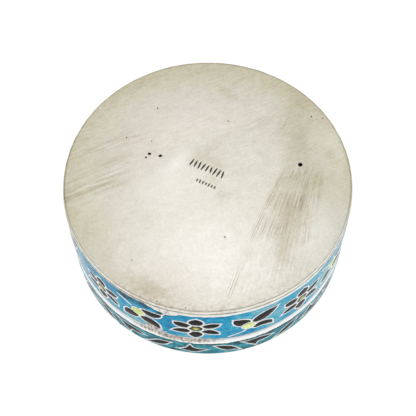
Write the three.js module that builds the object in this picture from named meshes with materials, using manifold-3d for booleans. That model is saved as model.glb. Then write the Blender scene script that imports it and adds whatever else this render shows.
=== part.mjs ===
// A round silver trinket box with enamelled walls, turned over on its lid with its plain underside up.
// Millimetres, +Z up. The lid's outer face rests on z = 0, the axis of the box is the Z axis.
import * as THREE from 'three';
import { mergeVertices } from 'three/addons/utils/BufferGeometryUtils.js';
import Module from 'manifold-3d';

// Driving dimensions of the whole box
const OUTER_RADIUS = 25;
const LID_HEIGHT = 7.4;
const BASE_HEIGHT = 12;
const SEAM_GAP = 0.1;

// Thicknesses of the silver and of the glass fused into it
const WALL = 1.3;
const LID_PLATE = 1.4;
const UNDERSIDE_PLATE = 0.9;
const ENAMEL_DEPTH = 0.5;
const FUSED_GAP = 0.02;

// Silver borders left bare beside the enamel
const UNDERSIDE_BORDER = 0.85;
const BASE_RIM = 0.5;
const LID_RIM = 1.8;
const LID_FOOT = 0.75;
const LID_FACE_BORDER = 1.6;

// Lip inside the mouth that the lid slides over
const LIP_THICKNESS = 0.7;
const LIP_REACH = 3;
const LIP_ROOT = 3.5;
const LIP_CLEARANCE = 0.1;

// The underside plate is a soldered disc, a little smaller than the wall, with one vent hole
const PLATE_INSET = 0.13;
const VENT_RADIUS = 0.4;
const VENT_OFFSET = 16.3;
const VENT_ANGLE = 8.7;

// Worn edges
const EDGE_ROUND = 0.25;
const ENAMEL_CROWN = 0.12;
const EDGE_STEPS = 3;
const TURNS = 72;
const VENT_TURNS = 16;

// Levels and radii that follow from the sizes above
const seam = LID_HEIGHT;
const mouth = seam + SEAM_GAP;
const wallEnd = mouth + BASE_HEIGHT - UNDERSIDE_PLATE;
const underside = mouth + BASE_HEIGHT;
const innerRadius = OUTER_RADIUS - WALL;
const recessRadius = OUTER_RADIUS - ENAMEL_DEPTH;
const lipOuter = innerRadius - LIP_CLEARANCE;
const lipInner = lipOuter - LIP_THICKNESS;
const plateRadius = OUTER_RADIUS - PLATE_INSET;

const silver = (name) => new THREE.MeshStandardMaterial({
  name, color: 0xd9d4c6, roughness: 0.38, metalness: 1,
});
const glass = (name, color) => new THREE.MeshStandardMaterial({
  name, color, roughness: 0.18, metalness: 0,
});

// A rounded corner of a profile: a quarter turn about (r, z), from angle a to angle b in degrees.
function corner(r, z, size, from, to) {
  const points = [];
  for (let i = 0; i <= EDGE_STEPS; i += 1) {
    const angle = THREE.MathUtils.degToRad(from + ((to - from) * i) / EDGE_STEPS);
    points.push([r + size * Math.cos(angle), z + size * Math.sin(angle)]);
  }
  return points;
}

// A closed profile of [radius, height] pairs, counterclockwise, turned about the Z axis.
function turned(profile) {
  const outline = profile.map(([r, z]) => new THREE.Vector2(r, z));
  if (profile[0][0] > 0) outline.push(outline[0].clone());
  const geometry = new THREE.LatheGeometry(outline, TURNS);
  geometry.rotateX(Math.PI / 2);
  return geometry;
}

// A band of glass between two heights, lying in a recess, with softly rounded edges.
function enamelBand(low, high) {
  const back = recessRadius + FUSED_GAP;
  const bottom = low + FUSED_GAP;
  const top = high - FUSED_GAP;
  const face = OUTER_RADIUS - ENAMEL_CROWN;
  return turned([
    [back, bottom],
    ...corner(face, bottom + ENAMEL_CROWN, ENAMEL_CROWN, -90, 0),
    ...corner(face, top - ENAMEL_CROWN, ENAMEL_CROWN, 0, 90),
    [back, top],
  ]);
}

// The wall of the base: a ring with a recess for its enamel, and the lip that the lid slides over.
function baseWall() {
  const recessLow = mouth + BASE_RIM;
  const recessHigh = wallEnd - UNDERSIDE_BORDER;
  return turned([
    [lipInner, mouth - LIP_REACH],
    ...corner(lipOuter - EDGE_ROUND, mouth - LIP_REACH + EDGE_ROUND, EDGE_ROUND, -90, 0),
    [lipOuter, mouth],
    [OUTER_RADIUS, mouth],
    [OUTER_RADIUS, recessLow],
    [recessRadius, recessLow],
    [recessRadius, recessHigh],
    [OUTER_RADIUS, recessHigh],
    ...corner(OUTER_RADIUS - EDGE_ROUND, wallEnd - EDGE_ROUND, EDGE_ROUND, 0, 90),
    [innerRadius, wallEnd],
    [innerRadius, mouth + LIP_ROOT],
    [lipInner, mouth + LIP_ROOT],
  ]);
}

// The lid: a flat plate and a low wall in one, each with a recess for its enamel.
function lid() {
  const recessHigh = seam - LID_RIM;
  const faceRadius = OUTER_RADIUS - LID_FACE_BORDER;
  return turned([
    [0, ENAMEL_DEPTH],
    [faceRadius, ENAMEL_DEPTH],
    [faceRadius, 0],
    ...corner(OUTER_RADIUS - EDGE_ROUND, EDGE_ROUND, EDGE_ROUND, -90, 0),
    [OUTER_RADIUS, LID_FOOT],
    [recessRadius, LID_FOOT],
    [recessRadius, recessHigh],
    [OUTER_RADIUS, recessHigh],
    [OUTER_RADIUS, seam],
    [innerRadius, seam],
    [innerRadius, LID_PLATE],
    [0, LID_PLATE],
  ]);
}

// The round of glass set into the lid's outer face, level with its silver border.
function lidFaceEnamel() {
  const radius = OUTER_RADIUS - LID_FACE_BORDER - FUSED_GAP;
  return turned([
    [0, 0],
    ...corner(radius - ENAMEL_CROWN, ENAMEL_CROWN, ENAMEL_CROWN, -90, 0),
    [radius, ENAMEL_DEPTH - FUSED_GAP],
    [0, ENAMEL_DEPTH - FUSED_GAP],
  ]);
}

const wasm = await Module();
wasm.setup();

// A closed geometry as a solid that can be cut.
function solid(geometry) {
  const bare = geometry.clone();
  bare.deleteAttribute('normal');
  bare.deleteAttribute('uv');
  const merged = mergeVertices(bare, 1e-4);
  return new wasm.Manifold(new wasm.Mesh({
    numProp: 3,
    vertProperties: new Float32Array(merged.attributes.position.array),
    triVerts: new Uint32Array(merged.index.array),
  }));
}

// The triangles of a cut solid as a geometry.
function surface(body) {
  const mesh = body.getMesh();
  const geometry = new THREE.BufferGeometry();
  geometry.setAttribute('position', new THREE.BufferAttribute(new Float32Array(mesh.vertProperties), 3));
  geometry.setIndex(new THREE.BufferAttribute(new Uint32Array(mesh.triVerts), 1));
  geometry.computeVertexNormals();
  return geometry;
}

// The flat disc that closes the base, with its worn rim and the vent hole right through it.
function undersidePlate() {
  const low = wallEnd + FUSED_GAP;
  const disc = turned([
    [0, low],
    [plateRadius, low],
    ...corner(plateRadius - EDGE_ROUND, underside - EDGE_ROUND, EDGE_ROUND, 0, 90),
    [0, underside],
  ]);
  const drill = new THREE.CylinderGeometry(VENT_RADIUS, VENT_RADIUS, 3 * UNDERSIDE_PLATE, VENT_TURNS);
  const angle = THREE.MathUtils.degToRad(VENT_ANGLE);
  drill.rotateX(Math.PI / 2);
  drill.translate(VENT_OFFSET * Math.cos(angle), VENT_OFFSET * Math.sin(angle), underside);
  return surface(solid(disc).subtract(solid(drill)));
}

function piece(name, geometry, material) {
  const mesh = new THREE.Mesh(geometry, material);
  mesh.name = name;
  return mesh;
}

const box = new THREE.Group();
box.name = 'enamel_box';
box.add(
  piece('base_underside_plate', undersidePlate(), silver('underside silver')),
  piece('base_wall', baseWall(), silver('base silver')),
  piece(
    'base_enamel_band',
    enamelBand(mouth + BASE_RIM, wallEnd - UNDERSIDE_BORDER),
    glass('turquoise enamel', 0x3a9cc0),
  ),
  piece('lid_shell', lid(), silver('lid silver')),
  piece('lid_enamel_band', enamelBand(LID_FOOT, seam - LID_RIM), glass('teal enamel', 0x2f8294)),
  piece('lid_face_enamel', lidFaceEnamel(), glass('lid face enamel', 0x2f8294)),
);

export default box;
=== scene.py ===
# %% [markdown]
# A round silver box, its walls covered with enamel, lies turned over on its lid. This file dresses the plain
# solids of the box with the finish of the real one: worn silver, glass enamel, flattened silver wire, two
# rows of punched strokes and the small scratches of long use. Every new piece is a surface worked out with
# numpy, in millimetres, and put into a mesh at the end.

import bmesh
import bpy
import numpy as np
from mathutils import Matrix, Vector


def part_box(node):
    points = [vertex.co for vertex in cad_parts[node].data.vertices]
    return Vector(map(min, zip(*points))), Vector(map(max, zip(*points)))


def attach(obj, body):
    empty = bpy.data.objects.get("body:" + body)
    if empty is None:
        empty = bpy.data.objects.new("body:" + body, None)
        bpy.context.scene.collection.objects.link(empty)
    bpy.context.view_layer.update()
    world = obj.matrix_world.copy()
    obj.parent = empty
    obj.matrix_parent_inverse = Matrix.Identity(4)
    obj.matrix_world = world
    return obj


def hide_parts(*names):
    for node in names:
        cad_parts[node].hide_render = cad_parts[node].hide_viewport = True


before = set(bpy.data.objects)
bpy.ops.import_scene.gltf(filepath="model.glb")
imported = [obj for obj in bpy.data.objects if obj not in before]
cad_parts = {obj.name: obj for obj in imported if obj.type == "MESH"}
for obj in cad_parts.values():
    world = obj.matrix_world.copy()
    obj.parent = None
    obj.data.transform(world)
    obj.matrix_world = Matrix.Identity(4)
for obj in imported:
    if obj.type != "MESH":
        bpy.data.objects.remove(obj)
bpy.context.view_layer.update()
print("nodes:", sorted(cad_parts))

# %% [markdown]
# The outer sizes come from the solids, so that the finish follows them. Only what an outer box can't tell,
# such as the thickness of a wall, is written here again. The angle round the box is counted in degrees from
# the front, and grows towards the right.

# %% Sizes of the box, in millimetres
MM = 0.001


def extent(node):
    """Lowest and highest corner of a solid, in millimetres."""
    low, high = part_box(node)
    return np.array(low) / MM, np.array(high) / MM


plate_low, plate_high = extent("base_underside_plate")
wall_low, wall_high = extent("base_wall")
band_low, band_high = extent("base_enamel_band")
lid_high = extent("lid_shell")[1]
lid_band_low, lid_band_high = extent("lid_enamel_band")
face_high = extent("lid_face_enamel")[1]

RADIUS = wall_high[0]
PLATE_RADIUS = plate_high[0]
TOP = plate_high[2]
SEAM = lid_high[2]
SEAM_GAP = 0.1
MOUTH = SEAM + SEAM_GAP
WALL = 1.3
ENAMEL_DEPTH = 0.5
FUSED_GAP = 0.02
LIP_CLEARANCE = 0.1
LIP_THICKNESS = 0.7
LIP_OUTER = RADIUS - WALL - LIP_CLEARANCE
LIP_INNER = LIP_OUTER - LIP_THICKNESS
LIP_ROOT = 3.5
LID_PLATE = 1.4
print("radius", RADIUS, "height", TOP, "seam", SEAM)

# %% [markdown]
# Every piece ends as points and faces in one mesh. Points that fall together are merged, so that poles and
# seams are closed, and the faces are turned outwards. Smooth shading with sharp creases then shows filed and
# melted edges as they are, without more faces.

# %% Put points and faces into an object
MERGE_DISTANCE = 2e-7
CREASE = np.radians(35)


def new_piece(name, points, faces):
    """An object from points in mm and faces. Doubled points are merged, and faces are turned outwards."""
    mesh = bpy.data.meshes.new(name)
    mesh.from_pydata((points * MM).tolist(), [], faces.tolist())
    shell = bmesh.new()
    shell.from_mesh(mesh)
    bmesh.ops.remove_doubles(shell, verts=shell.verts, dist=MERGE_DISTANCE)
    bmesh.ops.recalc_face_normals(shell, faces=shell.faces)
    shell.to_mesh(mesh)
    shell.free()
    piece = bpy.data.objects.new(name, mesh)
    bpy.context.collection.objects.link(piece)
    return piece


def smooth(piece):
    """Shades a piece smoothly, apart from edges that turn by more than CREASE."""
    piece.data.shade_smooth()
    piece.data.set_sharp_from_angle(angle=CREASE)


print("edges sharper than", round(np.degrees(CREASE)), "degrees stay sharp")

# %% [markdown]
# A turned box could be made with the Spin tool, but its glass and wire follow edges that wander, so most
# pieces here are closed loops of points, one after the other, with quads between them. In a ring the last
# loop is joined to the first, and a lens shrinks its first and last loop to a point.

# %% Join loops of points
def mesh_piece(name, loops, ring=False):
    """One piece from an array (copies, loops, points, 3) in mm: quads join each loop to the next, and each
    point to the next one round its loop. In a ring the last loop is joined to the first."""
    copies, count, size = loops.shape[:3]
    steps = count if ring else count - 1
    loop, point = np.meshgrid(np.arange(steps), np.arange(size), indexing="ij")
    after, beside = (loop + 1) % count, (point + 1) % size
    quad = np.stack([loop * size + point, loop * size + beside,
                     after * size + beside, after * size + point], -1)
    starts = np.arange(copies)[:, None, None] * count * size
    piece = new_piece(name, loops.reshape(-1, 3), (quad.reshape(1, -1, 4) + starts).reshape(-1, 4))
    smooth(piece)
    print(name, len(piece.data.vertices), "points", len(piece.data.polygons), "faces")
    return piece


# %% [markdown]
# Wear and tarnish lie at known places of the box. They could be painted by hand with vertex colours. Here
# they are worked out as one number a point, which is kept in the mesh as an attribute.

# %% Read and store numbers at the points
def points_of(piece):
    """All the points of a piece as an array (points, 3), in mm."""
    flat = np.empty(len(piece.data.vertices) * 3)
    piece.data.vertices.foreach_get("co", flat)
    return flat.reshape(-1, 3) / MM


def store(piece, name, values):
    """Keeps one number a point in the mesh, where a material can read it."""
    layer = piece.data.attributes.new(name, "FLOAT", "POINT")
    layer.data.foreach_set("value", values.astype(np.float32))


print("numbers are stored as", np.dtype(np.float32).name)

# %% [markdown]
# A place on the wall has three numbers: how far round it lies from the front, how high, and how far it
# stands out. Soft borders of wear and tarnish are drawn with two curves, a smooth hill and a smooth step,
# because they can be added and multiplied like any other numbers.

# %% Places round the wall, hills and steps
TURNS = 720
STEEPEST = 50


def angle_of(points):
    """Degrees round the box from its front, for an array of points."""
    return np.degrees(np.arctan2(points[..., 0], -points[..., 1]))


def on_wall(plan, height, lift):
    """A place on the round wall. plan is the distance round the wall from the front, height the level and
    lift the distance out from the wall, all in mm: the wall is rolled up, so an angle is plan over radius."""
    angle = plan / RADIUS
    reach = RADIUS + lift
    return np.stack(np.broadcast_arrays(reach * np.sin(angle), -reach * np.cos(angle), height), -1)


def turned(outline, turns=TURNS):
    """A profile of (radius, height) points carried round the Z axis: one loop of the ring at each angle."""
    plan = np.linspace(0, 2 * np.pi * RADIUS, turns, endpoint=False)[:, None]
    return on_wall(plan, outline[None, :, 1], outline[None, :, 0] - RADIUS)[None]


def bump(x, centre, width):
    """A smooth hill of height 1 at centre, a normal curve with the given width."""
    return np.exp(-(((x - centre) / width) ** 2))


def step(x, edge, width):
    """A smooth rise from 0 to 1 round an edge, over about the given width on each side: one over one plus
    an exponential, whose exponent is held within STEEPEST."""
    return 1 / (1 + np.exp(np.clip(-4 * (x - edge) / width, -STEEPEST, STEEPEST)))


print("front of the wall at the top:", on_wall(0.0, TOP, 0.0))

# %% [markdown]
# A hand-made surface is never quite true. A few long waves with seeded random directions give the
# gentle unevenness of hammered sheet and of glass that has flowed, the same at every run. A noise texture
# would do for a picture, but the waves can also move points and shift an edge.

# %% Slow waves
def waves(places, length, seed, count=9):
    """A smooth random field, mostly between -1 and 1: the sum of sine waves of roughly the given wavelength,
    each with its own random direction and phase, divided by the root of their number. places is an array
    (..., dimensions)."""
    random = np.random.default_rng(seed)
    aim = random.normal(size=(count, places.shape[-1]))
    aim /= np.linalg.norm(aim, axis=1, keepdims=True)
    rate = 2 * np.pi / (length * random.uniform(0.6, 1.6, count))
    phase = random.uniform(0, 2 * np.pi, count)
    return np.sin((places @ aim.T) * rate + phase).sum(-1) / np.sqrt(count)


print("waves along the front:", np.round(waves(on_wall(np.arange(5.0), TOP, 0.0), 6.0, 3), 2))

# %% [markdown]
# The enamel does not end in true circles. On the left the glass runs up almost to the underside, and left of
# the middle the silver comes down over it in a torn tongue. Below that, a patch of glass is missing. Such an
# edge could be sculpted, but a line through a few measured places, with a fine ripple, keeps it exact.

# %% Edges of the enamel
EDGE_LEVEL = band_high[2]
RIPPLE, RIPPLE_LENGTH = 0.05, 1.6
LID_RIPPLE = 1.6
LID_EDGE = [(-180, -0.03), (180, -0.03)]
UPPER_EDGE = [(-180, 0), (-110, 0.1), (-70, 0.75), (-46, 0.8), (-34, 0.95), (-26, 0.95), (-24.6, 0.75),
              (-23.8, 0.3), (-22.0, 0.1), (-21.2, -0.35), (-18.5, -0.65), (-16.8, -1.15), (-15.8, -1.25),
              (-14.2, -0.75), (-12.6, -0.55), (-11.4, 0.0), (-8, 0.1), (2, 0.05), (12, 0.1), (30, 0.2),
              (44, 0.1), (52, 0.45), (80, 0.5), (120, 0.05), (180, 0)]
LOWER_EDGE = [(-180, 0), (-44, 0.1), (-33, 0.3), (-26.4, 0.35), (-25.6, 1.0), (-24.4, 1.7), (-22.5, 1.9),
              (-21.0, 1.75), (-19.8, 0.9), (-19.2, 0.2), (-12, 0.1), (-5, 0.25), (2, -0.05), (40, -0.1),
              (180, 0)]


def torn(angle, places, seed):
    """Change in the height of an edge at an angle in degrees: straight lines through the places (angle,
    height), plus a fine seeded ripple."""
    at, rise = np.array(places).T
    ring = np.stack([np.cos(np.radians(angle)), np.sin(np.radians(angle))], -1)
    return np.interp(angle, at, rise) + RIPPLE * waves(ring * RADIUS, RIPPLE_LENGTH, seed)


def base_top(angle):
    """Height of the upper edge of the base's enamel."""
    return EDGE_LEVEL + torn(angle, UPPER_EDGE, 21)


def base_foot(angle):
    """Height of the lower edge of the base's enamel."""
    return band_low[2] + torn(angle, LOWER_EDGE, 22)


def lid_top(angle):
    """Height of the upper edge of the lid's enamel, which is only a little uneven."""
    return lid_band_high[2] + LID_RIPPLE * torn(angle, LID_EDGE, 23)


print("edge at -30, -16, 20:", np.round(base_top(np.array([-30.0, -16.0, 20.0])), 2))

# %% [markdown]
# The silver wall of the base is one ring: a border below the underside, a recess that holds the glass, a
# narrow rim at the mouth and the lip that goes down inside the lid. A Bevel would round every edge alike, so
# the profile itself has its roundings, each a quarter turn, and its recess follows the edges of the glass.

# %% Silver wall of the base
def quarter(radius, height, size, start, end, steps=5):
    """Points of an arc about (radius, height), from one angle to another in degrees."""
    turn = np.radians(np.linspace(start, end, steps))
    return np.stack([radius + size * np.cos(turn), height + size * np.sin(turn)], -1)


EDGE = 0.26
wall_profile = np.concatenate([
    [[LIP_INNER, wall_low[2]]],
    quarter(LIP_OUTER - EDGE, wall_low[2] + EDGE, EDGE, -90, 0),
    [[LIP_OUTER, MOUTH]],
    quarter(RADIUS - EDGE, MOUTH + EDGE, EDGE, -90, 0),
    [[RADIUS, band_low[2]]],
    [[RADIUS - ENAMEL_DEPTH, band_low[2]]],
    [[RADIUS - ENAMEL_DEPTH, EDGE_LEVEL]],
    [[RADIUS, EDGE_LEVEL]],
    quarter(RADIUS - EDGE / 2, wall_high[2] - EDGE / 2, EDGE / 2, 0, 90),
    [[RADIUS - WALL, wall_high[2]]],
    [[RADIUS - WALL, MOUTH + LIP_ROOT]],
    [[LIP_INNER, MOUTH + LIP_ROOT]],
])
wall_loops = turned(wall_profile)
for edge_level, edge in ((EDGE_LEVEL, base_top), (band_low[2], base_foot)):
    here = np.isclose(wall_profile[:, 1], edge_level)
    wall_loops[..., here, 2] = edge(angle_of(wall_loops))[..., here]
silver_wall = mesh_piece("silver_wall", wall_loops, ring=True)

# %% [markdown]
# The turquoise glass fills the recess and stands level with the silver. Its face is a little wavy, and it
# rounds off where it meets the metal, because molten glass pulls itself into a bead at its edge. A bump in
# the material would leave a straight outline, so both are in the shape.

# %% Enamel grounds
FLOW, FLOW_LENGTH = 0.018, 6.0
BEAD = 0.12


def glass_band(name, low, high, seed, rows=26):
    """A closed ring of glass: a face of rows from low to high, both functions of the angle, rounded back
    by a bead at both edges, and a flat back in the recess."""
    plan = np.linspace(0, 2 * np.pi * RADIUS, TURNS, endpoint=False)[:, None]
    angle = np.degrees(plan / RADIUS)
    angle = np.where(angle > 180, angle - 360, angle)
    across = (1 - np.cos(np.linspace(0, np.pi, rows)))[None, :] / 2
    foot, top = low(angle) + FUSED_GAP, high(angle) - FUSED_GAP
    height = foot * (1 - across) + top * across
    from_edge = np.minimum(height - foot, top - height)
    fall = BEAD * np.clip(1 - from_edge / BEAD, 0, 1) ** 2
    unevenness = FLOW * waves(on_wall(plan, height, 0), FLOW_LENGTH, seed)
    front = on_wall(plan, height, unevenness - fall)
    back = on_wall(plan, height[:, ::rows - 1][:, ::-1], FUSED_GAP - ENAMEL_DEPTH)
    return mesh_piece(name, np.concatenate([front, back], 1)[None], ring=True)


def lid_foot(angle):
    """Height of the lower edge of the lid's enamel, the same at every angle."""
    return np.full_like(angle, lid_band_low[2])


turquoise = glass_band("turquoise_enamel", base_foot, base_top, seed=3)
teal = glass_band("teal_enamel", lid_foot, lid_top, seed=8)

# %% [markdown]
# The pattern is laid out flat first, as on the maker's drawing: x round the wall to the right, y up, both
# in mm. Every petal and leaf is drawn by a few points, and some of them are marked as sharp. The black
# glass ends at this line. Blender's own curves would do for this, but plain arrays can be widened, turned
# and rolled round the wall.

# %% Lines through a few points
POINTS = 72


def curve(knots, closed=True, points=POINTS):
    """A smooth line through knots (x, y, sharp): cubic pieces whose slope at a knot is half of the way
    between its neighbours. At a sharp knot each side has its own slope, that of the parabola through its
    neighbour. The points are shared equally among the pieces."""
    rows = np.array([(*k, 0)[:3] for k in knots], float)
    place, sharp = rows[:, :2], rows[:, 2:] > 0
    if not closed:
        sharp = sharp.copy()
        sharp[[0, -1]] = True
    ahead, behind = np.roll(place, -1, 0) - place, place - np.roll(place, 1, 0)
    slope = (ahead + behind) / 2
    leave = np.where(sharp, 1.5 * ahead - 0.5 * np.roll(slope, -1, 0), slope)
    arrive = np.where(sharp, 1.5 * behind - 0.5 * np.roll(slope, 1, 0), slope)
    pieces = len(rows) if closed else len(rows) - 1
    t = (np.arange(points // pieces) * pieces / points)[None, :, None]
    if not closed:
        t = t * (points // pieces) / (points // pieces - 1)
    start, end = place[:pieces, None], np.roll(place, -1, 0)[:pieces, None]
    go, come = leave[:pieces, None], np.roll(arrive, -1, 0)[:pieces, None]
    line = ((1 + 2 * t) * (1 - t) ** 2 * start + t * (1 - t) ** 2 * go
            + t ** 2 * (3 - 2 * t) * end - t ** 2 * (1 - t) * come)
    return line.reshape(-1, 2)


print("points in a closed line:", len(curve([(0, 0), (1, 0), (1, 1), (0, 1)])))

# %% [markdown]
# The silver wire runs round each piece of black glass and comes to a point at its sharp places, because the
# maker has pinched it there. A scaled copy of the line would be too thin in its hollows. So every point is
# moved outwards at a right angle to the line, and further at a sharp corner.

# %% Wires round a line
WIRE = 0.31
SPIKE = 1.5
LONGEST_SPIKE = 2.6
SHARP_TURN = 0.5


def normals(line):
    """Outward unit normal at each point of a closed line, the sine of the angle by which the line turns
    there, and the cosine of half that angle."""
    ahead, behind = np.roll(line, -1, 0) - line, line - np.roll(line, 1, 0)
    ahead /= np.linalg.norm(ahead, axis=1, keepdims=True)
    behind /= np.linalg.norm(behind, axis=1, keepdims=True)
    along = ahead + behind
    along /= np.linalg.norm(along, axis=1, keepdims=True)
    area = np.sum(line[:, 0] * np.roll(line[:, 1], -1) - line[:, 1] * np.roll(line[:, 0], -1))
    side = np.sign(area) * np.stack([along[:, 1], -along[:, 0]], -1)
    turn = np.sign(area) * (behind[:, 0] * ahead[:, 1] - behind[:, 1] * ahead[:, 0])
    cosine = np.sqrt(np.clip((1 + np.sum(ahead * behind, 1)) / 2, 0.05, 1))
    return side, turn, cosine


def grown(line, width=WIRE, spike=SPIKE):
    """A closed line moved outwards by width. Where it turns by more than 30 degrees, whose sine is
    SHARP_TURN, the corner runs out to where the moved sides meet, times spike."""
    side, turn, cosine = normals(line)
    reach = np.where(turn > SHARP_TURN, spike * np.minimum(1 / cosine, LONGEST_SPIKE), 1.0)
    return line + side * (width * reach)[:, None]


def stroke(knots, width):
    """A closed outline round an open line through knots: half the points go out on one side, half come
    back on the other, and the ends are narrowed."""
    line = curve(knots, closed=False, points=POINTS // 2)
    along = np.gradient(line, axis=0)
    side = np.stack([-along[:, 1], along[:, 0]], -1) / np.linalg.norm(along, axis=1, keepdims=True)
    ends = np.linspace(-1, 1, len(line))[:, None]
    half = width / 2 * (1 - 0.75 * ends ** 16)
    return np.concatenate([line + side * half, (line - side * half)[::-1]])


def oval(wide, high):
    """A closed oval about (0, 0) from its two half widths."""
    turn = np.linspace(0, 2 * np.pi, POINTS, endpoint=False)
    return np.stack([wide * np.cos(turn), high * np.sin(turn)], -1)


print("an oval of 1 by 2 mm has a wire round it up to y =", grown(oval(1.0, 2.0))[:, 1].max().round(2))

# %% [markdown]
# Two solids come from such outlines. Glass is a low cushion inside the inner outline. Wire is a flat strip
# of silver between the inner and the outer outline, with a softly rounded top. Both are sunk a little into
# the ground, so that no gap shows under them where the ground is wavy.

# %% Cushions of glass and strips of wire
SINK = 0.2


def cushions(name, outlines, place, dome, lift):
    """Closed lenses from outlines (copies, points, 2): loops shrink from the outline to its middle, the
    top rises by dome towards the middle, and the bottom lies SINK below the ground."""
    outlines = np.asarray(outlines)
    middle = outlines.mean(1, keepdims=True)
    share = np.array([0.0, 0.2, 0.4, 0.6, 0.8, 0.95, 1.0, 1.0, 0.0])[None, :, None, None]
    height = lift + dome * (1 - share[..., 0] ** 2)
    height[:, -2:] = -SINK
    plan = middle[:, None] + share * (outlines - middle)[:, None]
    return mesh_piece(name, place(plan, np.broadcast_to(height, plan.shape[:-1])))


def strips(name, inner, outer, place, lift):
    """Closed strips between two outlines: at every point a section of five points over the top, from the
    inner outline to the outer, and two below."""
    inner, outer = np.asarray(inner), np.asarray(outer)
    share = np.array([0.0, 0.1, 0.5, 0.9, 1.0, 1.0, 0.0])[None, None, :, None]
    height = np.array([0.35, 0.85, 1.0, 0.85, 0.35, 0, 0])[None, None] * lift
    height[..., -2:] = -SINK
    plan = inner[:, :, None] + share * (outer - inner)[:, :, None]
    return mesh_piece(name, place(plan, np.broadcast_to(height, plan.shape[:-1])), ring=True)


def roll(plan, lift):
    """Rolls a flat drawing round the wall."""
    return on_wall(plan[..., 0], plan[..., 1], lift)


print("pieces are sunk", SINK, "mm into the ground")

# %% [markdown]
# The flower has six petals round a ringed centre, no two of them quite alike. The sprig has three leaves
# round a yellow centre, and a stem. One kind stands up and the other hangs, in turn. A petal turned six times
# would look printed, so each petal and leaf is drawn by its own few points.

# %% Drawings for the base
FLOWER = [
    [(-0.6, 1.5), (-1.12, 2.3), (-0.75, 3.25), (0.1, 3.9, 1), (0.95, 3.2), (1.17, 2.25), (0.75, 1.5),
     (0.05, 1.3)],
    [(-0.6, -1.6), (-1.15, -2.45), (-0.8, -3.35), (-0.2, -4.0, 1), (0.6, -3.45), (1.05, -2.45),
     (0.55, -1.55), (0, -1.35)],
    [(-3.55, 1.9, 1), (-2.5, 2.15), (-1.4, 1.65), (-1.0, 0.85), (-1.5, 0.2), (-2.5, 0.15), (-3.3, 0.55),
     (-3.6, 1.25)],
    [(-3.95, -2.05, 1), (-3.4, -1.15), (-2.3, -0.55), (-1.4, -0.75), (-1.0, -1.45), (-1.4, -2.0),
     (-2.5, -2.2), (-3.4, -2.15)],
    [(1.2, 1.2), (2.0, 1.85), (2.9, 2.12), (3.95, 1.85, 1), (3.7, 1.0), (3.1, 0.5), (2.1, 0.25),
     (1.45, 0.5)],
    [(1.05, -1.25), (1.7, -0.6), (2.5, -0.5), (3.3, -1.15), (3.8, -1.85), (3.75, -2.4, 1), (2.6, -2.3),
     (1.6, -1.9)],
]
STANDING = [
    [(-2.55, 3.45, 1), (-1.6, 3.3), (-0.6, 2.9), (0.15, 2.05), (0, 0.95), (-1.0, 0.55), (-1.8, 0.85),
     (-2.4, 1.65), (-2.62, 2.55)],
    [(0.7, 1.65), (1.2, 2.75), (2.2, 3.65), (3.4, 4.2), (4.95, 4.25, 1), (4.35, 2.85), (3.3, 1.4),
     (2.2, 0.85), (1.05, 0.85)],
    [(1.7, -0.05), (2.6, 0.05), (3.5, -0.35), (4.2, -1.05), (4.3, -2.25, 1), (3.6, -1.95), (2.4, -1.55),
     (1.4, -1.65), (0.9, -1.25)],
]
HANGING = [
    [(0.75, 1.6), (1.55, 1.95), (2.85, 2.0), (4.2, 2.05, 1), (4.05, 1.1), (3.35, 0.3), (2.55, 0),
     (1.65, 0.2), (1.05, 0.8)],
    [(0.45, -1.8), (1.35, -0.9), (2.15, -0.9), (2.95, -1.4), (3.65, -2.4), (3.85, -4.0, 1), (3.05, -3.7),
     (1.85, -3.2), (0.85, -2.8)],
    [(-2.35, -1.2), (-1.55, -0.8), (-0.65, -1.2), (-0.05, -2.0), (-0.55, -2.8), (-1.45, -3.3),
     (-2.85, -3.4, 1), (-2.85, -2.2), (-2.65, -1.7)],
]
STANDING_STEMS = [([(-0.35, -1.4), (-1.0, -2.05), (-1.8, -2.45), (-2.6, -2.85), (-3.6, -3.35)], 0.42)]
HANGING_STEMS = [([(-1.0, 1.3), (-2.2, 2.2), (-3.0, 2.75), (-4.0, 3.3)], 0.5),
                 ([(4.35, 2.2), (4.7, 2.75), (5.0, 3.3), (5.3, 3.8)], 0.34),
                 ([(3.95, -4.2), (4.2, -4.7), (4.6, -4.8), (5.0, -4.6)], 0.3)]
FLOWER_EYE = 1.12
SPRIG_EYE = (1.02, 1.2)
print("petals:", len(FLOWER), "leaves:", len(STANDING), len(HANGING))

# %% [markdown]
# Three flowers and three sprigs show in front, at slightly uneven distances. The others follow round the
# wall at an even spacing, each a little turned and stretched by a seeded random amount, as hand work is.

# %% Places round the base
FLOWERS = [(-46.5, 12.8, 0.93), (-5.3, 12.77, 1.0), (38.5, 12.65, 0.97)]
SPRIGS = [(-28.3, 13.7, 1.0), (15.1, 11.95, 1.0), (57.0, 13.6, 0.97)]
UNSEEN = 5


def evenly(first, last, count):
    """count angles with equal gaps between the last seen one and the first one seen again."""
    return np.linspace(last, first + 360, count + 2)[1:-1]


random = np.random.default_rng(4)
FLOWERS += [(a, 12.6, random.uniform(0.93, 1.02)) for a in evenly(FLOWERS[0][0], FLOWERS[-1][0], UNSEEN)]
SPRIGS += [(a, (11.95, 13.6)[i % 2], random.uniform(0.94, 1.0))
           for i, a in enumerate(evenly(SPRIGS[0][0], SPRIGS[-1][0], UNSEEN))]
print("flowers at", [round(f[0], 1) for f in FLOWERS])


def placed(lines, spot, tilt=0.0):
    """Outlines drawn about (0, 0), turned by tilt in degrees, and moved to a spot, which is (angle round the
    box, height, scale)."""
    angle, height, scale = spot
    c, w = np.cos(np.radians(tilt)), np.sin(np.radians(tilt))
    return np.asarray(lines) @ (scale * np.array([[c, w], [-w, c]])) + [np.radians(angle) * RADIUS, height]


# %% [markdown]
# All that is of one kind is one mesh: all black glass, all wire, all eyes. Copies of one object would be
# lighter, but every flower here is a little different. The glass stands slightly proud of the ground, and
# the wire slightly more, as on a box that has been rubbed down by hand.

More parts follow.
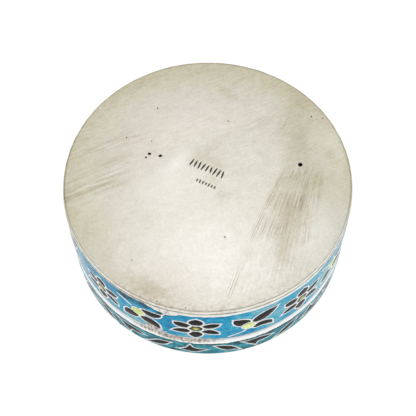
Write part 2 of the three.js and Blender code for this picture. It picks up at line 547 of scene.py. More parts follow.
# %% Pattern of the base
GLASS_LIFT, GLASS_DOME, WIRE_LIFT = 0.045, 0.04, 0.08
FULLER = 0.05
EYE_WIRE = 0.3
STEM_DOME = 0.02
tilts = np.concatenate([np.zeros(3), random.uniform(-3, 3, UNSEEN)])
kinds = [HANGING, STANDING]
stem_kinds = [HANGING_STEMS, STANDING_STEMS]
black_lines, eye_lines, bud_lines, stem_lines = [], [], [], []
for i, (flower, sprig, tilt) in enumerate(zip(FLOWERS, SPRIGS, tilts)):
    black_lines += [*placed([grown(curve(k), FULLER, 1.0) for k in FLOWER], flower, tilt)]
    black_lines += [*placed([grown(curve(k), FULLER, 1.0) for k in kinds[i % 2]], sprig, tilt)]
    eye_lines += [*placed([oval(FLOWER_EYE, FLOWER_EYE)], flower)]
    bud_lines += [*placed([oval(*SPRIG_EYE)], sprig)]
    stem_lines += [*placed([stroke(*k) for k in stem_kinds[i % 2]], sprig, tilt)]
black_base = cushions("black_petals", black_lines, roll, GLASS_DOME, GLASS_LIFT)
flower_eyes = cushions("flower_eyes", eye_lines, roll, GLASS_DOME * 2, GLASS_LIFT)
sprig_buds = cushions("sprig_buds", bud_lines, roll, GLASS_DOME * 2, GLASS_LIFT * 2)
wire_petals = strips("petal_wires", black_lines, [grown(k) for k in black_lines], roll, WIRE_LIFT)
centres = eye_lines + bud_lines
wire_eyes = strips("eye_wires", centres, [grown(k, EYE_WIRE) for k in centres], roll, WIRE_LIFT)
wire_stems = cushions("stem_wires", stem_lines, roll, STEM_DOME, WIRE_LIFT)

# %% [markdown]
# Round the lid run slanting leaves and three-pointed ones in turn. Every second leaf slants the other way,
# and every second three-pointed one hangs point down. Four drawings are enough, because the eye takes the
# uneven places and heights for differences of shape.

# %% Pattern of the lid
FALLING = [(-1.75, 1.05, 1), (-0.95, 1.05), (0.0, 0.65), (0.8, 0.2), (1.75, -1.2, 1), (0.95, -0.9),
           (0, -0.85), (-1.05, 0.1)]
POINT_DOWN = [(-1.9, 0.9, 1), (-1.1, 0.85), (-0.4, 0.82), (0.3, 0.85), (1.3, 0.8), (2.7, 0.1, 1),
              (1.8, -0.3), (0.8, -0.2), (0.3, -0.45), (-0.1, -1.3, 1), (-0.75, -0.6), (-1.3, 0.1)]
RISING = [(-1.85, -1.2, 1), (-1.1, -0.35), (-0.2, 0.6), (0.8, 1.1), (1.8, 1.25, 1), (1.2, 0.3),
          (0.3, -0.5), (-0.8, -1.0)]
POINT_UP = [(-1.8, -0.5, 1), (-1.2, 0), (-0.7, 0.6), (-0.4, 1.6, 1), (-0.15, 0.75), (0.4, 0.3), (1.1, 0.1),
            (2.35, -0.05, 1), (1.5, -0.4), (0.7, -0.9), (0.0, -1.05), (-0.9, -0.75)]
LID_SEEN = [(-46.5, 2.8), (-34.4, 3.35), (-20.9, 2.8), (-7.1, 2.9), (6.9, 3.3), (18.8, 3.6), (33.2, 2.9),
            (46.3, 2.9)]
LID_KINDS = [FALLING, POINT_DOWN, RISING, POINT_UP]
LID_HEIGHTS = [3.1, 3.5, 2.85, 2.9]
LID_UNSEEN = 20
LID_SCALE = 0.98
LID_FULLER = 0.19
LID_WIRE = 0.3
lid_angles = evenly(LID_SEEN[0][0], LID_SEEN[-1][0], LID_UNSEEN)
lid_places = LID_SEEN + [(a, LID_HEIGHTS[i % 4]) for i, a in enumerate(lid_angles)]
lid_lines = []
for i, (angle, height) in enumerate(lid_places):
    lid_lines += [*placed([grown(curve(LID_KINDS[i % 4]), LID_FULLER, 1.0)], (angle, height, LID_SCALE))]
black_lid = cushions("black_leaves", lid_lines, roll, GLASS_DOME, GLASS_LIFT)
wire_lid = strips("leaf_wires", lid_lines, [grown(k, LID_WIRE) for k in lid_lines], roll, WIRE_LIFT)
print("motifs round the lid:", len(lid_places))

# %% [markdown]
# The lid is a shallow dish of silver, here lying on its face. Its wall has a recess for the glass, and a
# broad bright rim at the mouth. It is a turned ring as the base is. Its profile starts and ends a thousandth
# of a millimetre from the axis, so the hole that a ring leaves is far too fine to see.

# %% Silver lid
POLE = 0.001
FACE_RADIUS = face_high[0] + FUSED_GAP
LID_FOOT = lid_band_low[2] - FUSED_GAP
lid_profile = np.concatenate([
    [[POLE, ENAMEL_DEPTH], [FACE_RADIUS, ENAMEL_DEPTH], [FACE_RADIUS, 0]],
    quarter(RADIUS - EDGE, EDGE, EDGE, -90, 0),
    [[RADIUS, LID_FOOT], [RADIUS - ENAMEL_DEPTH, LID_FOOT]],
    [[RADIUS - ENAMEL_DEPTH, lid_band_high[2]], [RADIUS, lid_band_high[2]]],
    quarter(RADIUS - EDGE, SEAM - EDGE, EDGE, 0, 90),
    [[RADIUS - WALL, SEAM], [RADIUS - WALL, LID_PLATE], [POLE, LID_PLATE]],
])
lid_loops = turned(lid_profile)
here = np.isclose(lid_profile[:, 1], lid_band_high[2])
lid_loops[..., here, 2] = lid_top(angle_of(lid_loops))[..., here]
silver_lid = mesh_piece("silver_lid", lid_loops, ring=True)

# %% [markdown]
# The lid's own face is hidden, because the box lies on it. It is finished plainer than the walls: a round
# of the same teal glass with one large flower in its middle. The tools of the wall serve again, with another
# way to place their drawings: flat, instead of rolled up.

# %% Enamel of the lid's face
def lay_flat(plan, lift):
    """Puts a flat drawing on the lid's face, seen from below, so lift goes down."""
    return np.stack([plan[..., 0], plan[..., 1], np.broadcast_to(-lift, plan.shape[:-1])], -1)


FACE_TURNS = 180
FACE_SINK = 0.03
BEVEL_WIDE, BEVEL_HIGH = 0.15, 0.12
FACE_FLOWER, FACE_WIRE, FACE_BUD = 2.6, 0.8, 2.6
PETALS_SINK, WIRES_SINK, BUD_SINK = 0.01, 0.005, 0.008
face_profile = np.array([[POLE, 0.0], [face_high[0] - BEVEL_WIDE, 0.0], [face_high[0], BEVEL_HIGH],
                         [face_high[0], face_high[2]], [POLE, face_high[2]]]) + [0, FACE_SINK]
face_glass = mesh_piece("lid_face_glass", turned(face_profile, FACE_TURNS), ring=True)
face_lines = [curve(k) * FACE_FLOWER for k in FLOWER]
face_black = cushions("lid_face_petals", face_lines, lay_flat, 0.0, -PETALS_SINK)
face_outer = [grown(k, FACE_WIRE) for k in face_lines]
face_wire = strips("lid_face_wires", face_lines, face_outer, lay_flat, -WIRES_SINK)
face_bud = cushions("lid_face_bud", [oval(FACE_BUD, FACE_BUD)], lay_flat, 0.0, -BUD_SINK)

# %% [markdown]
# The underside is a flat sheet that has been hammered, filed and rubbed for a long time. A sculpt would do,
# but slow waves say how deep the hammering is. A square grid bent into a disc gives the sheet even faces
# right up to the rim, which a fan of triangles round one middle point wouldn't.

# %% Face of the underside plate
GRID = 150
CROWDING = 0.25
RIM = 0.22
FLAT_RADIUS = PLATE_RADIUS - RIM
FACE_LEVEL = TOP - 0.03
HAMMERING = [(0.018, 14.0, 5), (0.003, 4.0, 6)]


def squared_disc(u, v):
    """Bends a square of side 2 into a disc of radius 1: each coordinate shrinks by the root of one minus
    half the square of the other."""
    return np.stack([u * np.sqrt(1 - v ** 2 / 2), v * np.sqrt(1 - u ** 2 / 2)], -1)


half_turn = np.linspace(-np.pi / 2, np.pi / 2, GRID)
line = np.sin(half_turn) * CROWDING + np.linspace(-1, 1, GRID) * (1 - CROWDING)
sheet = squared_disc(*np.meshgrid(line, line, indexing="ij")) * FLAT_RADIUS
hammered = sum(depth * waves(sheet, length, seed) for depth, length, seed in HAMMERING)
fade = 1 - np.linalg.norm(sheet, axis=-1) ** 4 / FLAT_RADIUS ** 4
face_points = np.concatenate([sheet, (FACE_LEVEL + hammered * fade)[..., None]], -1)
print("hammering up to", round(float(np.abs(hammered).max()), 3), "mm")

# %% [markdown]
# The rim of the plate is rounded by wear, in places more than in others. Loops of points follow the border of
# the grid round the rim, down the edge and across the back to a point, so that the points of face and rim
# fall together and no seam shows.

# %% Rim and back of the underside plate
RIM_TURNS = np.radians([0, 30, 60, 90])
RIM_WEAR, WEAR_LENGTH, DEEPEST_WEAR = 0.03, 2.5, 2.5


def flat_loop(outline, height):
    """A loop of points, all at one height."""
    return np.column_stack([outline, np.full(len(outline), height)])


border = np.concatenate([sheet[0, :-1], sheet[:-1, -1], sheet[-1, :0:-1], sheet[:0:-1, 0]])
outwards = border / np.linalg.norm(border, axis=1, keepdims=True)
wear = np.clip(waves(outwards * RADIUS, WEAR_LENGTH, 51, 14) - 1, -DEEPEST_WEAR, 0)
worn = RIM + RIM_WEAR * wear[:, None]
rim = [flat_loop(outwards * (FLAT_RADIUS + worn * np.sin(t)), FACE_LEVEL - RIM * (1 - np.cos(t)))
       for t in RIM_TURNS]
low = flat_loop(outwards * (FLAT_RADIUS + worn), plate_low[2])
loops = np.array([*rim, low, low * [1e-6, 1e-6, 1]])
size = len(border)
grid = np.arange(GRID * GRID).reshape(GRID, GRID)
face_quads = np.stack([grid[:-1, :-1], grid[1:, :-1], grid[1:, 1:], grid[:-1, 1:]], -1)
start = GRID * GRID + np.arange(len(loops) - 1)[:, None] * size + np.arange(size)
after = np.roll(start, -1, axis=1)
side_quads = np.stack([start, after, after + size, start + size], -1)
plate = new_piece("silver_underside", np.concatenate([face_points.reshape(-1, 3), loops.reshape(-1, 3)]),
                  np.concatenate([face_quads.reshape(-1, 4), side_quads.reshape(-1, 4)]))
print("underside faces:", len(plate.data.polygons))

# %% [markdown]
# A vent hole lets the hot air out when the plate is soldered on. The sheet also has a few cast pits and
# two rows of shallow punched strokes. Dark paint would look flat, so they are real hollows, of the shape that
# a stretched ball leaves when it is pressed in. The vent and each pit are given by x, y and radius. Every pit
# is turned a little more than the last.

# %% Vent, pits and punched strokes
VENT = (16.1, 2.45, 0.4)
PITS = [(-10.1, 5.1, 0.33), (-8.2, 4.65, 0.35), (-10.7, 4.4, 0.2), (-9.8, 7.7, 0.12), (-8.8, 14.7, 0.15),
        (-14.2, 8.5, 0.13), (3.8, 11.7, 0.14), (2.75, -11.4, 0.15), (-12.6, -15.4, 0.12), (18.7, 12.4, 0.17),
        (20.7, 12.0, 0.13), (-8.4, -22.8, 0.11), (-3.8, -23.9, 0.09)]
ROW_SLANT = -27.0
STROKES = dict(middle=(-0.05, 1.95), count=9, pitch=0.74, length=1.9, width=0.33, depth=0.18)
SMALL_STROKES = dict(middle=(-0.3, -1.1), count=7, pitch=0.56, length=0.95, width=0.3, depth=0.12)
PIT_DEPTH, PIT_SHARE, PIT_TURN = 0.45, 0.8, 0.3


def stroke_row(middle, count, pitch, length, width, depth, seed):
    """A row of short bars that slants down to the right: every bar is a stretched ball, turned a little
    from upright by a seeded random angle, with its middle on the face of the plate."""
    random = np.random.default_rng(seed)
    slant = np.radians(ROW_SLANT)
    along = (np.arange(count) - (count - 1) / 2) * pitch
    place = np.array(middle) + np.outer(along, [np.cos(slant), np.sin(slant)])
    lean = slant + np.pi / 2 + random.uniform(-0.15, 0.15, count)
    size = length * random.uniform(0.7, 1.0, count)
    return [(x, y, a, s / 2, width / 2, depth) for (x, y), a, s in zip(place, lean, size)]


def balls(rows, sides=20, rings=9):
    """Stretched balls on the face: rows of (x, y, turn, half length, half width, depth)."""
    x, y, turn, long, wide, deep = (np.array(c)[:, None, None] for c in zip(*rows))
    polar = np.linspace(0, np.pi, rings)[None, :, None]
    azimuth = np.linspace(0, 2 * np.pi, sides, endpoint=False)[None, None]
    a, b = long * np.sin(polar) * np.cos(azimuth), wide * np.sin(polar) * np.sin(azimuth)
    c = deep * np.cos(polar) + FACE_LEVEL + 0 * azimuth
    return np.stack([x + a * np.cos(turn) - b * np.sin(turn), y + a * np.sin(turn) + b * np.cos(turn), c], -1)


dents = [(x, y, PIT_TURN * i, r, r * PIT_SHARE, PIT_DEPTH) for i, (x, y, r) in enumerate(PITS)]
dents += stroke_row(**STROKES, seed=11) + stroke_row(**SMALL_STROKES, seed=12)
print("pits and strokes:", len(dents))

# %% [markdown]
# The balls are sunk into the face, a pin goes right through for the vent, and boolean modifiers take them out
# of the plate. Sculpting would need a far finer grid everywhere, while a cut adds faces only where they are
# needed. The modifiers are applied at once, because the wear is stored at the points of the cut plate.

# %% Cut the hollows and the vent
vent_x, vent_y, vent_radius = VENT
pin_level = np.array([plate_low[2] - 1, plate_low[2] - 1, TOP + 1, TOP + 1])[:, None]
pin_reach = np.array([1e-6, vent_radius, vent_radius, 1e-6])[:, None]
pin_turn = np.linspace(0, 2 * np.pi, 32, endpoint=False)[None]
pin = np.broadcast_arrays(vent_x + pin_reach * np.cos(pin_turn), vent_y + pin_reach * np.sin(pin_turn),
                          pin_level)
cutters = [mesh_piece("dent_cutter", balls(dents)), mesh_piece("vent_cutter", np.stack(pin, -1)[None])]
for cutter in cutters:
    cut = plate.modifiers.new("cut", "BOOLEAN")
    cut.operation = "DIFFERENCE"
    cut.solver = "EXACT"
    cut.object = cutter
bpy.context.view_layer.update()
cut_mesh = bpy.data.meshes.new_from_object(plate.evaluated_get(bpy.context.evaluated_depsgraph_get()))
plate.modifiers.clear()
plate.data = cut_mesh
for cutter in cutters:
    bpy.data.objects.remove(cutter)
smooth(plate)
print("underside faces after the cuts:", len(plate.data.polygons))

# %% [markdown]
# Old silver is not one colour. Where fingers and cloths don't reach it turns a warm grey-brown, and where
# it is rubbed it stays pale. Such fields could be painted on a texture, which would need a picture. Here
# they are sums of soft oval patches at their real places: some darken the silver, others are rubbed pale,
# and two pale ones are painted light: the painted bright middle of the satin sheen and a painted highlight.

# %% Patches of tarnish and of painted sheen
def patches(x, y, rows):
    """Adds up soft oval patches, each a row (height, x, y, half width, half height, turn in degrees). A patch
    is a normal curve of the distance from its middle, measured in its own half widths."""
    total = 0
    for height, middle_x, middle_y, wide, high, turn in rows:
        t = np.radians(turn)
        a = (x - middle_x) * np.cos(t) + (y - middle_y) * np.sin(t)
        b = -(x - middle_x) * np.sin(t) + (y - middle_y) * np.cos(t)
        total = total + height * np.exp(-((a / wide) ** 2 + (b / high) ** 2))
    return total


DARK = [
    (0.62, 16.2, 7.0, 2.5, 6.5, 4), (0.3, 17.5, 16.0, 5.0, 4.0, 0), (0.4, 21.3, 4.6, 1.2, 0.8, 60),
    (0.6, 13.4, -7.0, 2.3, 5.5, -8), (0.25, 11.6, -15.0, 1.3, 3.0, -6), (0.3, 16.5, -6.3, 1.4, 3.6, -8),
    (0.3, 12.3, -14.0, 1.5, 4.0, -10), (0.25, -12.5, -19.2, 0.3, 1.2, -15), (0.16, 19.6, -2.0, 2.6, 4.5, 0),
    (0.3, 18.5, -1.0, 2.5, 3.5, -8), (0.25, 14.5, -1.0, 2.0, 2.5, 0), (0.3, 0.8, 6.2, 3.0, 1.0, 40),
    (0.35, 2.8, -3.6, 1.8, 1.0, 20), (0.42, 0.6, 2.9, 3.8, 1.6, -27), (0.25, 0.4, -0.9, 2.4, 1.0, -27),
    (0.3, -17.0, 3.5, 4.5, 1.0, 22), (0.4, -18.0, -1.3, 5.0, 0.8, 16), (0.35, 4.0, 17.5, 3.0, 0.8, -40),
    (0.12, -18.0, -9.0, 4.0, 5.0, 0), (0.35, 4.4, -19.6, 0.5, 2.6, -24), (0.2, 6.0, -19.0, 0.4, 1.8, -24),
]
# Pale patches: most are rubbed silver, but the broad one low in the middle, at (0, -14), is the painted
# bright middle of the satin sheen, and the small one at (-5.2, 3.2) is a painted highlight.
RUBBED_AND_SHEEN = [
    (0.15, -15.5, -7.0, 2.5, 5.0, 0), (0.35, 22.3, 6.8, 1.6, 3.0, 12), (0.5, 0.0, -14.0, 9.0, 8.0, 0),
    (0.6, -5.2, 3.2, 1.2, 2.8, -35), (0.3, -6.0, 0.0, 6.0, 5.0, 0), (0.3, -4.0, 12.5, 8.0, 4.5, 0),
    (0.3, 5.0, -20.0, 7.0, 4.0, 0), (0.4, 18.0, -13.0, 3.0, 6.0, -20), (0.25, 10.0, -15.0, 3.0, 5.0, 0),
]
SMUDGE = [(1, -9.2, -20.5, 3.4, 1.5, -30)]
print("dark patches:", len(DARK), "rubbed patches:", len(RUBBED_AND_SHEEN))

# %% [markdown]
# The plate is darker towards the rim, partly from tarnish and partly as a painted shade where the satin
# sheen falls off, though not on the front of the rim's side. Tarnish also gathers at the back, in one smudge
# and in specks near the front rim. A dark line runs along the top of the rim at the back, the plate is a
# little darker at the left, and the side of the rim at the front left is paler. Steps across the plate give
# these, because their borders follow the rim and not an oval.

# %% Tarnish, painted sheen and painted shade of the underside
p = points_of(plate)
flat = p[:, :2]
x, y, z = p.T
reach = np.hypot(x, y)
front = step(-y, 8.0, 6.0)
top_side = step(z, TOP - 0.2, 0.08)
smudge = step(patches(x, y, SMUDGE) + 0.13 * waves(flat, 1.6, 41), 0.5, 0.45)
specks = step(-y, 19.0, 2.0) * step(6.0 - x, 0, 3.0) * step(waves(flat, 1.1, 53), 0.45, 0.4)
# The pale patches also lay the painted sheen and the painted highlight on the plate.
tarnish_and_sheen = patches(x, y, DARK) - patches(x, y, RUBBED_AND_SHEEN) + 0.5 * smudge + 0.2 * step(y, 18.0, 4.0)
tarnish_and_sheen += 0.08 * step(-x, 15.0, 7.0) + 0.45 * step(reach, 23.6, 0.5) * specks
# Darker towards the rim, though not on the front of its side: partly tarnish, partly a painted shade where
# the satin sheen falls off.
tarnish_and_sheen += 0.3 * step(reach, 22.5, 4.0) * (1 - step(reach, 24.72, 0.15) * front)
tarnish_and_sheen += 0.8 * step(reach, 24.6, 0.2) * step(y, -6.0, 6.0) * top_side
tarnish_and_sheen -= 0.5 * step(reach, 24.8, 0.05) * step(-x, 12.0, 3.0) * front * (1 - top_side)
store(plate, "tarnish_and_sheen", np.clip(tarnish_and_sheen, -1, 1.5))
print("tarnish from", round(float(tarnish_and_sheen.min()), 2), "to", round(float(tarnish_and_sheen.max()), 2))

# %% [markdown]
# Two more tints lie over the silver: an olive film at the back and the sides, with a ragged border, and a
# faint rosy bloom in patches. The hollows of pits and strokes have held their dirt. They are fields as well,
# because one noise for everything would put the tints where the real box has none.

# %% Tints and hollows
ROSY = [(1, -5.0, 14.0, 12.0, 5.0, 0), (1, -14.0, 7.0, 8.0, 6.0, 0), (1, -8.0, -20.0, 7.0, 4.0, 0),
        (1, -15.5, -7.0, 2.5, 6.0, 0), (1, 12.5, 9.0, 2.0, 3.5, 0), (0.8, 13.5, -7.0, 3.5, 6.0, 0)]
HOLLOW_DEPTH = 0.07
ragged = reach + 1.1 * waves(flat, 7.0, 43) + 0.6 * waves(flat, 1.3, 44)
olive = 0.8 * step(ragged, 19.8, 2.6) * step(y, -12.0 + 7.0 * step(x, 0, 5), 5.0)
store(plate, "olive", olive)
store(plate, "rosy", 0.6 * np.clip(patches(x, y, ROSY), 0, 1) * (1 - olive))
store(plate, "hollow", step(FACE_LEVEL - z, HOLLOW_DEPTH, 0.03) * (reach < 24.3))
print("share of the plate under the olive film:", round(float((olive > 0.4).mean()), 2))

# %% [markdown]
# Scratches come in families of nearly parallel lines. The largest fans out below the vent hole, between two
# straight borders, with a bundle of long thin lines beside its left one, and a few short steep strokes above
# it. A line of the family keeps the same share of the way between the borders, so this share and the distance
# along it are coordinates in which a stretched noise draws the scratches. Modelled lines would be too many.

# %% The fan of scratches
FAN_TOP, FAN_END = 2.0, -25.0
STEEP = [(0.9, 14.0, 11.4, 0.9, 1.9, -28)]
below = y - 1.5
fan_left = 13.0 + 0.52 * below + 0.0033 * below ** 2
fan_right = 20.5 + 0.18 * below
share = (x - fan_left) / (fan_right - fan_left)
fan = step(share, 0.02, 0.05) * (1 - step(share, 0.95, 0.25))
fan *= step(FAN_TOP - y, 0, 2) * (1 - step(FAN_END + 4 - y, 0, 5))
fan *= np.clip(0.85 + 0.4 * waves(flat, 5.0, 46), 0.2, 1.2) * (1 - 0.45 * step(-y, 13.5, 3.0))
bundle = bump(share, 0.03, 0.05) * (1 - 0.8 * bump(y, -15.0, 3.0))
bundle *= step(1.5 - y, 0, 2) * (1 - step(-22 - y, 0, 1.5))
store(plate, "fan_across", np.where(y > 5, 2.5 * (x - 0.56 * y), share * 10))
store(plate, "fan_amount", np.clip(fan, 0, 1.3) + patches(x, y, STEEP))
store(plate, "bundle", bundle)
print("share of the plate in the fan:", round(float((fan > 0.5).mean()), 2))

# %% [markdown]
# At the left a second family climbs gently to the right, and the whole plate has a fine brushed grain in the
# same direction, stronger at the back. It needs no fan: the distance across one slanting direction is enough.

# %% Scratches at the left and brushed grain
LEFT_SLOPE = np.radians(22)
SHORT_MARKS = [(0.7, -1.5, 11.5, 2.5, 0.8, 22), (0.7, 2.0, 10.2, 3.0, 0.6, 22),
               (0.8, 9.5, 11.3, 4.0, 0.8, 22)]
left_across = -x * np.sin(LEFT_SLOPE) + y * np.cos(LEFT_SLOPE)
left = step(-x, 14.0, 4.0) * bump(left_across, 6.6, 2.6) + patches(x, y, SHORT_MARKS)
left += 0.9 * step(-x, 11.0, 4.0) * bump(left_across, 13.1, 1.0)
store(plate, "left_across", left_across)
store(plate, "left_amount", np.clip(left, 0, 1))
store(plate, "worked", 0.4 + 0.8 * step(y, 3.0, 12.0))
print("fields on the plate:", [layer.name for layer in plate.data.attributes if layer.data_type == "FLOAT"])

# %% [markdown]
# A material in Blender is a tree of nodes. It can be put together by hand in the shader editor. Here one
# function adds any node with its settings and links, so that a finish can be read from top to bottom. Colours
# are given as a screen shows them and turned to linear light.

# %% Colour and node helpers
def linear(code):
    """Linear RGBA from an sRGB hex code: low values are divided by 12.92, others go up to the power 2.4."""
    value = np.array([int(code[i:i + 2], 16) for i in (1, 3, 5)]) / 255
    light = np.where(value <= 0.04045, value / 12.92, ((value + 0.055) / 1.055) ** 2.4)
    return (*light.tolist(), 1.0)


def add(tree, kind, links=None, stops=(), **settings):
    """Adds a node. settings are its own properties or, by name or number, the values of its inputs, links
    joins an input to the output of another node, and stops are the (place, hex colour) of a colour ramp."""
    node = tree.nodes.new("ShaderNode" + kind)
    for key, value in settings.items():
        if hasattr(node, key):
            setattr(node, key, value)
        else:
            node.inputs[int(key[1:]) if key[1:].isdigit() else key.replace("_", " ")].default_value = value
    for key, output in (links or {}).items():
        tree.links.new(output, node.inputs[key])
    while stops and len(node.color_ramp.elements) < len(stops):
        node.color_ramp.elements.new(0.5)
    for number, (place, code) in enumerate(stops):
        node.color_ramp.elements[number].position = place
        node.color_ramp.elements[number].color = linear(code)
    return node


def material(name):
    """An empty node material: its tree, its Principled shader and the object's own coordinates."""
    made = bpy.data.materials.new(name)
    made.use_nodes = True
    tree = made.node_tree
    shader = tree.nodes["Principled BSDF"]
    place = add(tree, "TexCoord").outputs["Object"]
    return made, tree, shader, place


def per_mm(length):
    """Noise scale for features of about this many millimetres, in object coordinates of metres."""
    return 1 / (length * MM)


print("a grey of #808080 is", round(linear("#808080")[0], 3), "of white light")

# %% [markdown]
# Worn silver is a metal, so its colour is the colour of its reflections. Files and cloths have rubbed it to a
# satin, and a mottled bloom of tarnish lies on it, in clouds of about 2 mm. A picture of old metal would show
# another metal's marks, so noise gives both. The grain of a fine file is under 0.1 mm and would not show in
# the render, so it is drawn as coarse as 0.35 mm. The fields on the plate are read by their names.

# %% Worn silver: what the material reads
worn_silver, tree, shader, place = material("worn silver, rubbed and tarnished")
shader.inputs["Metallic"].default_value = 1.0
CLOUD, GRAIN = 2.2, 0.35
PLATE_FIELDS = ("tarnish_and_sheen", "rosy", "olive", "hollow", "fan_across", "fan_amount", "bundle", "left_across",
                "left_amount", "worked")
clouds = add(tree, "TexNoise", {"Vector": place}, Scale=per_mm(CLOUD), Detail=6.0, Roughness=0.7)
cloud = clouds.outputs["Fac"]
grains = add(tree, "TexNoise", {"Vector": place}, Scale=per_mm(GRAIN), Detail=3.0, Roughness=0.6)
grain = grains.outputs["Fac"]
axes = add(tree, "SeparateXYZ", {"Vector": place})
read = {name: add(tree, "Attribute", attribute_name=name).outputs["Fac"] for name in PLATE_FIELDS}
print("fields read:", len(read))

# %% [markdown]
# Scratches show as fine dark and light lines. A noise that changes fast across a family of lines and slowly
# along it gives them, and the amount stored on the plate says where they lie. Real scratches are thinner than
# a pixel, so their widths here, of 0.3 to 0.6 mm, are as coarse as they need to show. The bundle of long thin
# lines is too even for noise: there the coordinate goes to and fro like teeth, and only the tips are drawn.

# %% Worn silver: scratches
TOOTH = 0.17


def lines(across, along, amount, width, length):
    """Marks of about width by length in mm, light and dark: noise that changes fast across a family of
    lines, where its coordinate is in mm, and slowly along it, where the coordinate is in metres."""
    vector = add(tree, "CombineXYZ", {"X": across, "Y": along})
    spread = add(tree, "Mapping", {"Vector": vector.outputs[0]}, Scale=(1 / width, per_mm(length), 1))
    noise = add(tree, "TexNoise", {"Vector": spread.outputs[0]}, Scale=1.0, Detail=3.0, Roughness=0.7)
    sharp = add(tree, "MapRange", {"Value": noise.outputs["Fac"]}, _1=0.35, _2=0.72, _3=-0.3, _4=0.75)
    return add(tree, "Math", {0: sharp.outputs[0], 1: amount}, operation="MULTIPLY").outputs[0]


fan_lines = lines(read["fan_across"], axes.outputs["Y"], read["fan_amount"], 0.3, 8.0)
left_lines = lines(read["left_across"], axes.outputs["X"], read["left_amount"], 0.6, 6.5)
brushed = lines(read["left_across"], axes.outputs["X"], read["worked"], 0.4, 2.2)
teeth = add(tree, "Math", {0: read["fan_across"]}, operation="PINGPONG", _1=TOOTH).outputs[0]
thin_lines = add(tree, "MapRange", {"Value": teeth}, _1=0.04, _2=0.12, _3=1.0, _4=-0.3).outputs[0]
long_lines = add(tree, "Math", {0: thin_lines, 1: read["bundle"]}, operation="MULTIPLY").outputs[0]
scratched = add(tree, "Math", {0: fan_lines, 1: left_lines}, operation="ADD").outputs[0]
print("nodes so far:", len(tree.nodes))

# %% [markdown]
# Everything that darkens the silver is added up by weight, and one colour ramp turns the sum into a tone
# from bright to brown. The two tints and the dirt of the hollows are laid over it. Grain and scratches also
# move the surface normal a little, which is enough for marks that are thinner than a hair.

# %% Worn silver: tone and surface
DARKENED_BY = [(read["tarnish_and_sheen"], 0.36), (cloud, 0.28), (grain, 0.28), (scratched, 0.38), (long_lines, 0.3),
               (brushed, 0.12)]
BRIGHT_TO_BROWN = [(0.0, "#faf8f1"), (0.28, "#e8e5d9"), (0.54, "#d0cab4"), (0.94, "#9c9170")]
total = None
for value, weight in DARKENED_BY:
    part = add(tree, "Math", {0: value}, operation="MULTIPLY", _1=weight).outputs[0]
    total = part if total is None else add(tree, "Math", {0: total, 1: part}, operation="ADD").outputs[0]
tone = add(tree, "ValToRGB", {"Fac": total}, BRIGHT_TO_BROWN).outputs["Color"]
filled = add(tree, "Math", {0: read["hollow"]}, operation="MULTIPLY", _1=0.85).outputs[0]
TINTS = [(read["rosy"], "MULTIPLY", "#fbf3f3"), (read["olive"], "MULTIPLY", "#fffdf3"),
         (filled, "MIX", "#2b261c")]
for amount, blend, colour in TINTS:
    over = add(tree, "Mix", data_type="RGBA", blend_type=blend, _7=linear(colour))
    tree.links.new(amount, over.inputs["Factor"])
    tree.links.new(tone, over.inputs[6])
    tone = over.outputs[2]
tree.links.new(tone, shader.inputs["Base Color"])
rough = add(tree, "MapRange", {"Value": grain}, _1=0.3, _2=0.7, _3=0.42, _4=0.47)
tree.links.new(rough.outputs[0], shader.inputs["Roughness"])
height = add(tree, "Math", {0: scratched, 1: grain}, operation="ADD").outputs[0]
relief = add(tree, "Bump", {"Height": height}, Strength=0.25, Distance=0.00004)
tree.links.new(relief.outputs[0], shader.inputs["Normal"])
plate.data.materials.append(worn_silver)
print("nodes of the worn silver:", len(tree.nodes))

# %% [markdown]
# The silver of the walls, rims and wires is the same metal, brighter where it stands proud. Round the seam,
# left of the front, it carries a pinkish-brown tarnish that the flux has left. One recipe serves three tones
# of it, and three stored fields say where it is stained, where it is freshly rubbed, and where a bluish grey
# is painted round the seam as the shade of its gap.

# %% Materials: silver of walls and wires
POLISHED = [(0.3, "#ffffff"), (0.7, "#f8f7f4")]
SOILED = [(0.35, "#d2cbc1"), (0.5, "#b5aa9f"), (0.62, "#7f766d")]
# Bluish grey of the painted shade round the seam's gap.
PAINTED_SEAM_GREY = "#aebabd"
WALL_FIELDS = ("stain", "shine", "painted_seam_shade")


def silver(name, high, low):
    """Polished silver between a high and a low tone. Where the attribute shine is 1 it is white, where the
    painted seam shade is high it is a bluish grey that stands for the shade of the seam's gap, and where
    stain is high it turns a streaky brown."""
    made, tree, shader, place = material(name)
    shader.inputs["Metallic"].default_value = 1.0
    bloom = add(tree, "TexNoise", {"Vector": place}, Scale=per_mm(0.9), Detail=4.0, Roughness=0.65)
    mottle = bloom.outputs["Fac"]
    upright = add(tree, "Mapping", {"Vector": place}, Scale=(1, 1, 0.3))
    runs = add(tree, "TexNoise", {"Vector": upright.outputs[0]}, Scale=per_mm(0.5), Detail=4.0)
    streaks = runs.outputs["Fac"]
    read = {key: add(tree, "Attribute", attribute_name=key).outputs["Fac"] for key in WALL_FIELDS}
    dirt = add(tree, "Math", {0: streaks, 2: read["stain"]}, operation="MULTIPLY_ADD", _1=0.6).outputs[0]
    clean = add(tree, "ValToRGB", {"Fac": mottle}, [(0.3, high), (0.7, low)]).outputs["Color"]
    polished = add(tree, "ValToRGB", {"Fac": mottle}, POLISHED).outputs["Color"]
    clean = add(tree, "Mix", {"Factor": read["shine"], 6: clean, 7: polished}, data_type="RGBA").outputs[2]
    # Here the painted shade of the seam is mixed in.
    clean = add(tree, "Mix", {"Factor": read["painted_seam_shade"], 6: clean}, data_type="RGBA", _7=linear(PAINTED_SEAM_GREY)).outputs[2]
    soiled = add(tree, "ValToRGB", {"Fac": streaks}, SOILED).outputs["Color"]
    amount = add(tree, "MapRange", {"Value": dirt}, _1=0.45, _2=0.9)
    mixed = add(tree, "Mix", {"Factor": amount.outputs[0], 6: clean, 7: soiled}, data_type="RGBA")
    tree.links.new(mixed.outputs[2], shader.inputs["Base Color"])
    rough = add(tree, "MapRange", {"Value": mottle}, _1=0.3, _2=0.7, _3=0.25, _4=0.42)
    tree.links.new(rough.outputs[0], shader.inputs["Roughness"])
    return made


